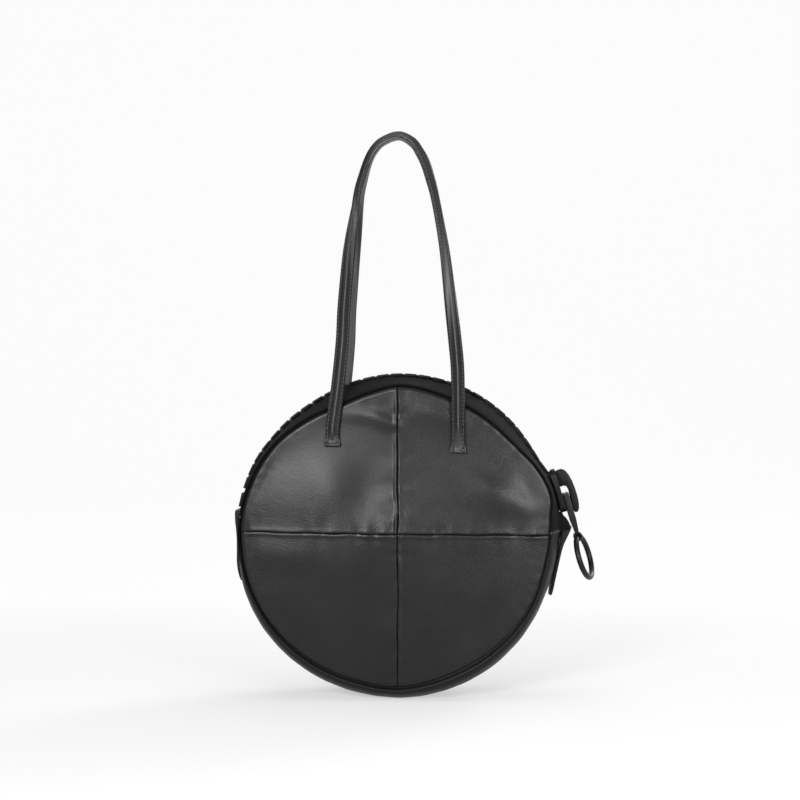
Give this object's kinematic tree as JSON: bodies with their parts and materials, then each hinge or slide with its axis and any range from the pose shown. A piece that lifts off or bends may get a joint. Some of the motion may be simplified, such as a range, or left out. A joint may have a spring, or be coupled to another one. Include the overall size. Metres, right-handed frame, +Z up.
{
  "type": "circle bag",
  "caption": "Round black leather bag with crossed panel seams, an oversized curved zip with a ring pull and two long shoulder straps.",
  "frame": {"origin": "centre of the flattened base, on the floor under the middle of the disc", "axes": "+X to the right as seen from the front, where the closed zip's slider is; +Y from the front panel to the back panel; +Z up"},
  "size_m": [0.3319, 0.1132, 0.5281],
  "materials": {
    "panel_leather": "smooth satin black hide",
    "band_leather": "smooth satin black hide",
    "tab_leather": "smooth satin black hide, stitched edge",
    "strap_leather": "satin black hide over a filled centre",
    "filler_cord": "twisted cotton cord",
    "patch_board": "stiff bonded fibre",
    "zip_tape": "matt black herringbone tape",
    "zip_teeth": "moulded black acetal",
    "lining_cloth": "plain black twill",
    "slider_finish": "satin moulded black",
    "pull_finish": "satin to gloss black coat"
  },
  "bodies": {
    "carcass": {"front_quarter_lower_left": "panel_leather", "front_quarter_lower_right": "panel_leather", "back_quarter_lower_left": "panel_leather", "back_quarter_lower_right": "panel_leather", "lower_gusset": "band_leather", "gusset_lining": "lining_cloth", "front_lining_lower": "lining_cloth", "back_lining_lower": "lining_cloth", "zip_bottom_stop": "zip_teeth", "zip_tab_left": "tab_leather"},
    "slider": {"zip_slider": "slider_finish"},
    "link": {"pull_link": "pull_finish"},
    "ring": {"pull_ring": "pull_finish"},
    "right_tab": {"zip_tab_right": "tab_leather"},
    "front_upper": {"front_quarter_upper_left": "panel_leather", "front_quarter_upper_right": "panel_leather", "front_zip_tape": "zip_tape", "front_zip_teeth": "zip_teeth", "front_zip_top_stop": "zip_teeth", "front_lining_upper": "lining_cloth", "front_handle_ends": "strap_leather", "front_handle_patches": "patch_board"},
    "front_handle": {"front_handle_strap": "strap_leather", "front_handle_core": "filler_cord"},
    "back_upper": {"back_quarter_upper_left": "panel_leather", "back_quarter_upper_right": "panel_leather", "back_zip_tape": "zip_tape", "back_zip_teeth": "zip_teeth", "back_zip_top_stop": "zip_teeth", "back_lining_upper": "lining_cloth", "back_handle_ends": "strap_leather", "back_handle_patches": "patch_board"},
    "back_handle": {"back_handle_strap": "strap_leather", "back_handle_core": "filler_cord"}
  },
  "joints": [
    {"name": "slider_run", "type": "hinge", "parent": "carcass", "child": "slider", "pos_m": [0, 0, 0.147], "axis": [0, -1, 0], "range_deg": [0, 141]},
    {"name": "front_mouth", "type": "hinge", "parent": "carcass", "child": "front_upper", "pos_m": [0, -0.056, 0.147], "axis": [1, 0, 0], "range_deg": [0, 12], "deforming": ["front_zip_tape", "front_zip_teeth"]},
    {"name": "back_mouth", "type": "hinge", "parent": "carcass", "child": "back_upper", "pos_m": [0, 0.056, 0.147], "axis": [-1, 0, 0], "range_deg": [0, 12], "deforming": ["back_zip_tape", "back_zip_teeth"]},
    {"name": "pull_swing", "type": "hinge", "parent": "slider", "child": "link", "pos_m": [0.15487, 0, 0.1861], "axis": [0, -1, 0], "range_deg": [0, 150]},
    {"name": "ring_swing", "type": "hinge", "parent": "link", "child": "ring", "pos_m": [0.16623, 0, 0.14774], "axis": [0, -1, 0], "range_deg": [-25, 80]},
    {"name": "front_handle_fold", "type": "hinge", "parent": "front_upper", "child": "front_handle", "pos_m": [0, -0.05622, 0.2492], "axis": [1, 0, 0], "range_deg": [0, 135]},
    {"name": "back_handle_fold", "type": "hinge", "parent": "back_upper", "child": "back_handle", "pos_m": [0, 0.05622, 0.2492], "axis": [-1, 0, 0], "range_deg": [0, 135]},
    {"name": "tab_lift", "type": "hinge", "parent": "carcass", "child": "right_tab", "pos_m": [0.15074, 0, 0.15385], "axis": [0, -1, 0], "range_deg": [0, 15]}
  ],
  "couplings": [
    {"joint": "front_mouth", "follows": "slider_run", "ratio": 0.085},
    {"joint": "back_mouth", "follows": "slider_run", "ratio": 0.085}
  ]
}
